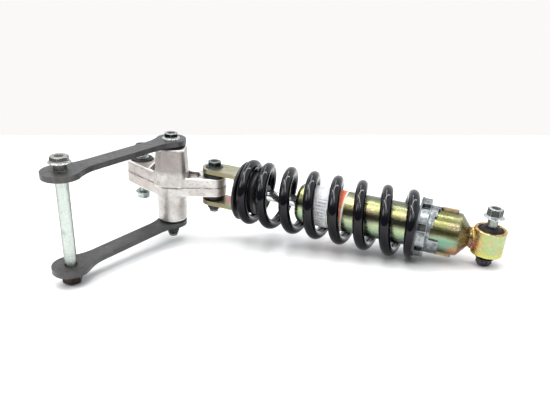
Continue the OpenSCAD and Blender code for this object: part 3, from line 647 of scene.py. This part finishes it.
WIRE_MM = 5.85                   # radius of the spring's wire
FLAT_LOSS_MM = 0.29              # the CAD wire's flats lie this far inside its round
TIP_MM = 0.98                    # from the ground end of the spring to the wire's centre at its tip
OPEN_MM, CLOSED_MM = 26.5, 11.9  # the wire's rise in a turn, between the end turns and in them
TURNS, FIRST_TOP = 7.9, 0.4      # turns from tip to tip, and from the first tip to the wire's first top
WIND_UP, WIND_DOWN = 0.92, 7.55  # turns at which the rise opens and closes
CORNER = 0.1                     # turns to either side in which it does so


def soft(u):
    """0 before -CORNER, u after CORNER, and a parabola between."""
    return 0.0 if u <= -CORNER else (u if u >= CORNER else (u + CORNER) ** 2 / (4 * CORNER))


def coil_spring():
    """The wire swept along its real centre line, hooked to both seats so that it shortens with them.

    Each closed end rides whole on its seat, and the turns between share the travel evenly.
    """
    low, high = box_mm("coil_spring")
    mean = (high.z - low.z) / 2 - WIRE_MM + FLAT_LOSS_MM
    start = low.x + TIP_MM
    seated = WIND_DOWN - CORNER
    steps, ring = 72, 24  # sections in a turn, and points round each
    nudge = 0.002         # turns to either side, for the wire's direction

    def centre(t):
        """The wire's centre t turns from its tip, and the way out from the spring's axis."""
        x = start + CLOSED_MM * t + (OPEN_MM - CLOSED_MM) * (soft(t - WIND_UP) - soft(t - WIND_DOWN))
        a = math.radians(90 + 360 * (t - FIRST_TOP))
        return Vector((x, mean * math.cos(a), mean * math.sin(a))), Vector((0, math.cos(a), math.sin(a)))

    count = int(TURNS * steps) + 1
    points, share = [], []
    for i in range(count):
        t = TURNS * i / (count - 1)
        here, out = centre(t)
        ahead = centre(t + nudge)[0] - centre(t - nudge)[0]
        side = ahead.cross(out).normalized()
        for j in range(ring):
            a = 2 * math.pi * j / ring
            p = here + (out * math.cos(a) + side * math.sin(a)) * WIRE_MM
            p.x = min(max(p.x, low.x), high.x)
            points.append(p * MM)
            share.append(min(max((t - WIND_UP) / (seated - WIND_UP), 0.0), 1.0))
    faces = []
    for i in range(count - 1):
        for j in range(ring):
            k = (j + 1) % ring
            faces.append(((i + 1) * ring + j, (i + 1) * ring + k, i * ring + k, i * ring + j))
    faces.append(tuple(range(ring)))
    faces.append(tuple((count - 1) * ring + j for j in reversed(range(ring))))
    obj = mesh_piece("coil_spring_wire", points, faces, spring_paint(), "damper_body",
                     "coil_spring")
    for body, weights in (("shock_rod", [1 - s for s in share]), ("spring_seat", share)):
        group = obj.vertex_groups.new(name=body)
        for index, weight in enumerate(weights):
            if weight > 0:
                group.add([index], weight, "REPLACE")
        hook = obj.modifiers.new("follow_" + body, "HOOK")
        hook.object = frame["bodies"][body]
        hook.vertex_group = body
        hook.falloff_type = "NONE"
        hook.matrix_inverse = Matrix.Identity(4)


def weld_bead():
    """A rippled fillet where the housing's neck meets the barrel of the eye."""
    lift, inset = 0.4, 1.6            # of the bead's centre line off the barrel, and inside the CAD bead
    radius, wander = 2.15, 0.45       # of the bead's section, and how far lumps change it
    ripple_depth, ripples = 0.13, 26  # as a share of the radius, and their number
    circle, level = 1.6, 3.1          # where the lumps' noise is read
    steps, ring = 180, 14             # sections round the bead, and points round each
    eye_low, eye_high = box_mm("upper_eye")
    barrel = (eye_high.x - eye_low.x) / 2
    bead_low, bead_high = box_mm("eye_weld")
    neck = (bead_high.z - bead_low.z) / 2 - inset
    along = Vector((1, 0, 0))
    points = []
    for i in range(steps):
        a = 2 * math.pi * i / steps
        ripple = 1 + ripple_depth * math.sin(a * ripples + 1.3 * math.sin(3 * a))
        lump = noise.noise(Vector((math.cos(a) * circle, math.sin(a) * circle, level)))
        fat = (radius + wander * lump) * ripple
        out = Vector((0, math.cos(a), math.sin(a)))
        y, z = out.y * neck, out.z * neck
        here = Vector((-math.sqrt(max(barrel * barrel - y * y, 1.0)) - lift, y, z))
        for j in range(ring):
            b = 2 * math.pi * j / ring
            points.append((here + (out * math.cos(b) + along * math.sin(b)) * fat) * MM)
    faces = []
    for i in range(steps):
        n = (i + 1) % steps
        for j in range(ring):
            k = (j + 1) % ring
            faces.append((i * ring + j, n * ring + j, n * ring + k, i * ring + k))
    mesh_piece("eye_weld_bead", points, faces, weld_metal(), "damper_body", "eye_weld")


def rocker_casting():
    """The rocker's CAD solid remeshed and relaxed, so that its corners and pockets are cast, not cut.

    The attribute crest says how far each point stands out from a much softer copy. It is above 0 on rims
    and below 0 in pockets.
    """
    voxel, rounding, softening = 0.75, 20, 80  # the last two are rounds of smoothing
    swells = ((0.10, 7.0), (0.05, 2.1))        # depths and sizes of the surface's waves
    pits, pit_depth, pit_radius = 90, 0.28, (0.5, 1.1)
    mesh = frame["nodes"]["rocker_arm"].data.copy()
    mesh.name = "rocker_casting"
    obj = scene_object("rocker_casting", mesh)
    remesh = obj.modifiers.new("voxels", "REMESH")
    remesh.mode = "VOXEL"
    remesh.voxel_size = voxel * MM
    relax = obj.modifiers.new("relax", "SMOOTH")
    relax.factor = 0.5

    def relaxed(iterations):
        relax.iterations = iterations
        return bpy.data.meshes.new_from_object(obj.evaluated_get(bpy.context.evaluated_depsgraph_get()))

    def per_vertex(source, key):
        values = np.empty(len(source.vertices) * 3, np.float32)
        source.vertices.foreach_get(key, values)
        return values.reshape(-1, 3)

    made = relaxed(rounding)
    softer = per_vertex(relaxed(softening), "co")
    obj.modifiers.clear()
    obj.data = made
    made.name = "rocker_casting"
    spots = per_vertex(made, "co")
    normals = per_vertex(made, "normal")
    crest = made.attributes.new("crest", "FLOAT", "POINT")
    crest.data.foreach_set("value", ((spots - softer) * normals).sum(axis=1) / MM)
    count = len(spots)
    move = np.zeros(count)
    for i, p in enumerate(spots):
        move[i] = sum(depth * noise.noise(Vector(p) / MM / size) for depth, size in swells)
    draw = np.random.default_rng(7)
    for index in draw.integers(0, count, pits):
        reach = draw.uniform(*pit_radius) * MM
        gap = np.linalg.norm(spots - spots[index], axis=1)
        near = gap < reach
        move[near] -= pit_depth * (1 - (gap[near] / reach) ** 2)
    spots = spots + normals * move[:, None] * MM
    made.vertices.foreach_set("co", spots.astype(np.float32).ravel())
    made.polygons.foreach_set("use_smooth", [True] * len(made.polygons))
    made.materials.clear()
    made.materials.append(cast_aluminium())
    made.update()
    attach(obj, "rocker")
    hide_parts("rocker_arm")


coil_spring()
weld_bead()
rocker_casting()


# ---- stage, light and camera ----

AZIMUTH, ELEVATION, ROLL = 0.349, 0.419, 0.062  # radians
CAMERA_PLACE = (-0.037365, -0.512777, 0.231239)  # metres
SENSOR_MM, LENS_MM = 36.0, 34.96
FAR_EDGE = math.radians(7.6)  # the floor ends this far above the view's axis
HALF_WIDTH = 1.6              # of the floor's far edge, over its distance from the camera
FLOOR_DEPTH = 2.4             # metres from that edge to the near one


def view():
    """Place and axes of the photograph's view: from the tie rods' side, a little to the right and above."""
    back = Vector((math.sin(AZIMUTH) * math.cos(ELEVATION), -math.cos(AZIMUTH) * math.cos(ELEVATION),
                   math.sin(ELEVATION)))
    level = (-back).cross(Vector((0, 0, 1))).normalized()
    upright = level.cross(-back)
    right = level * math.cos(ROLL) + upright * math.sin(ROLL)
    up = upright * math.cos(ROLL) - level * math.sin(ROLL)
    return Vector(CAMERA_PLACE), right, up, back


def floor_plane():
    """The plane the object lies on: it rests on a nut, a bolt's tip and the underside of the spring."""
    def lowest(node):
        low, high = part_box(node)
        return Vector(((low.x + high.x) / 2, (low.y + high.y) / 2, low.z))

    inset, clearance = 6.0, 0.1
    spring_low, spring_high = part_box("coil_spring")
    a = lowest("upper_nut")
    b = lowest("swingarm_bolt")
    c = Vector((spring_high.x - inset * MM, 0, spring_low.z))
    normal = (b - a).cross(c - a).normalized()
    if normal.z < 0:
        normal.negate()
    height = min(min(normal.dot(v.co) for v in o.data.vertices) for o in frame["nodes"].values())
    return normal, height - clearance * MM


def floor():
    """A pale sheet under the object, whose far edge is level in the photograph's view."""
    look = Look("studio_floor")
    color = look.mix(look.span(look.noise(60.0), 0.3, 0.7), "f1f1f1", "f4f4f4")
    material = look.finish(color, 0.85, height=look.noise(3.0), depth=0.01, Specular_IOR_Level=0.2)
    normal, height = floor_plane()
    place, right, up, back = view()
    sight = up * math.sin(FAR_EDGE) - back * math.cos(FAR_EDGE)
    far = []
    for side in (-HALF_WIDTH, HALF_WIDTH):
        ray = sight + right * side
        far.append(place + ray * ((height - normal.dot(place)) / normal.dot(ray)))
    ahead = normal.cross(far[1] - far[0]).normalized()
    if ahead.dot(back) > 0:
        ahead.negate()
    corners = far + [far[1] - ahead * FLOOR_DEPTH, far[0] - ahead * FLOOR_DEPTH]
    mesh = bpy.data.meshes.new("studio_floor")
    made = bmesh.new()
    made.faces.new([made.verts.new(c) for c in corners])
    bmesh.ops.subdivide_edges(made, edges=made.edges[:], cuts=8, use_grid_fill=True)
    made.to_mesh(mesh)
    made.free()
    obj = scene_object("studio_floor", mesh)
    mesh.materials.append(material)


def surroundings():
    """Soft light from above and from behind the object, and a plain pale wall where the camera looks."""
    world = bpy.data.worlds.new("studio")
    bpy.context.scene.world = world
    world.use_nodes = True
    sky = Nodes(world.node_tree)
    sky.tree.nodes.clear()
    toward = sky.split(sky.node("ShaderNodeTexCoord").outputs["Generated"])
    above = sky.span(toward["Z"], 0.45, 0.75)
    behind = sky.span(toward["Y"], -0.45, 0.15)
    strength = sky.span(sky.calc("MAXIMUM", above, behind), 0.0, 1.0, 0.16, 1.0)
    glow = sky.node("ShaderNodeBackground", {"Color": (0.96, 0.98, 1.0, 1.0), "Strength": strength})
    wall = sky.node("ShaderNodeBackground", {"Color": "fbf9f8", "Strength": 1.0})
    seen = sky.node("ShaderNodeLightPath").outputs["Is Camera Ray"]
    pick = sky.node("ShaderNodeMixShader", {0: seen, 1: glow.outputs[0], 2: wall.outputs[0]})
    sky.node("ShaderNodeOutputWorld", {"Surface": pick.outputs[0]})


def lamp(name, place, size, power, aim, color=(1, 1, 1)):
    """A rectangular lamp at place, turned towards aim."""
    data = bpy.data.lights.new(name, "AREA")
    data.shape = "RECTANGLE"
    data.size, data.size_y = size
    data.energy = power
    data.color = color
    obj = scene_object(name, data)
    obj.location = place
    obj.rotation_mode = "QUATERNION"
    obj.rotation_quaternion = (Vector(place) - Vector(aim)).to_track_quat("Z", "Y")


def lights():
    """Three strips overhead, which draw thin highlights on the spring's wire, and a soft box at the left."""
    for number in range(3):
        lamp("overhead_%d" % number, place=(-0.35, -0.30 + 0.25 * number, 1.05), size=(2.2, 0.05), power=6.4,
             aim=(-0.22, -0.02, 0.0))
    lamp("left_front", place=(-0.95, -0.75, 0.75), size=(0.5, 0.5), power=3.5, aim=(-0.25, -0.05, 0.0),
         color=(1.0, 0.98, 0.95))


def camera():
    place, right, up, back = view()
    data = bpy.data.cameras.new("photo_view")
    data.sensor_width = SENSOR_MM
    data.lens = LENS_MM
    data.clip_start, data.clip_end = 0.02, 20.0
    obj = scene_object("photo_view", data)
    obj.matrix_world = Matrix.Translation(place) @ Matrix((right, up, back)).transposed().to_4x4()
    bpy.context.scene.camera = obj


floor()
surroundings()
lights()
camera()
bpy.context.scene.view_settings.view_transform = "Standard"
bpy.context.scene.view_settings.look = "None"

bpy.context.view_layer.update()
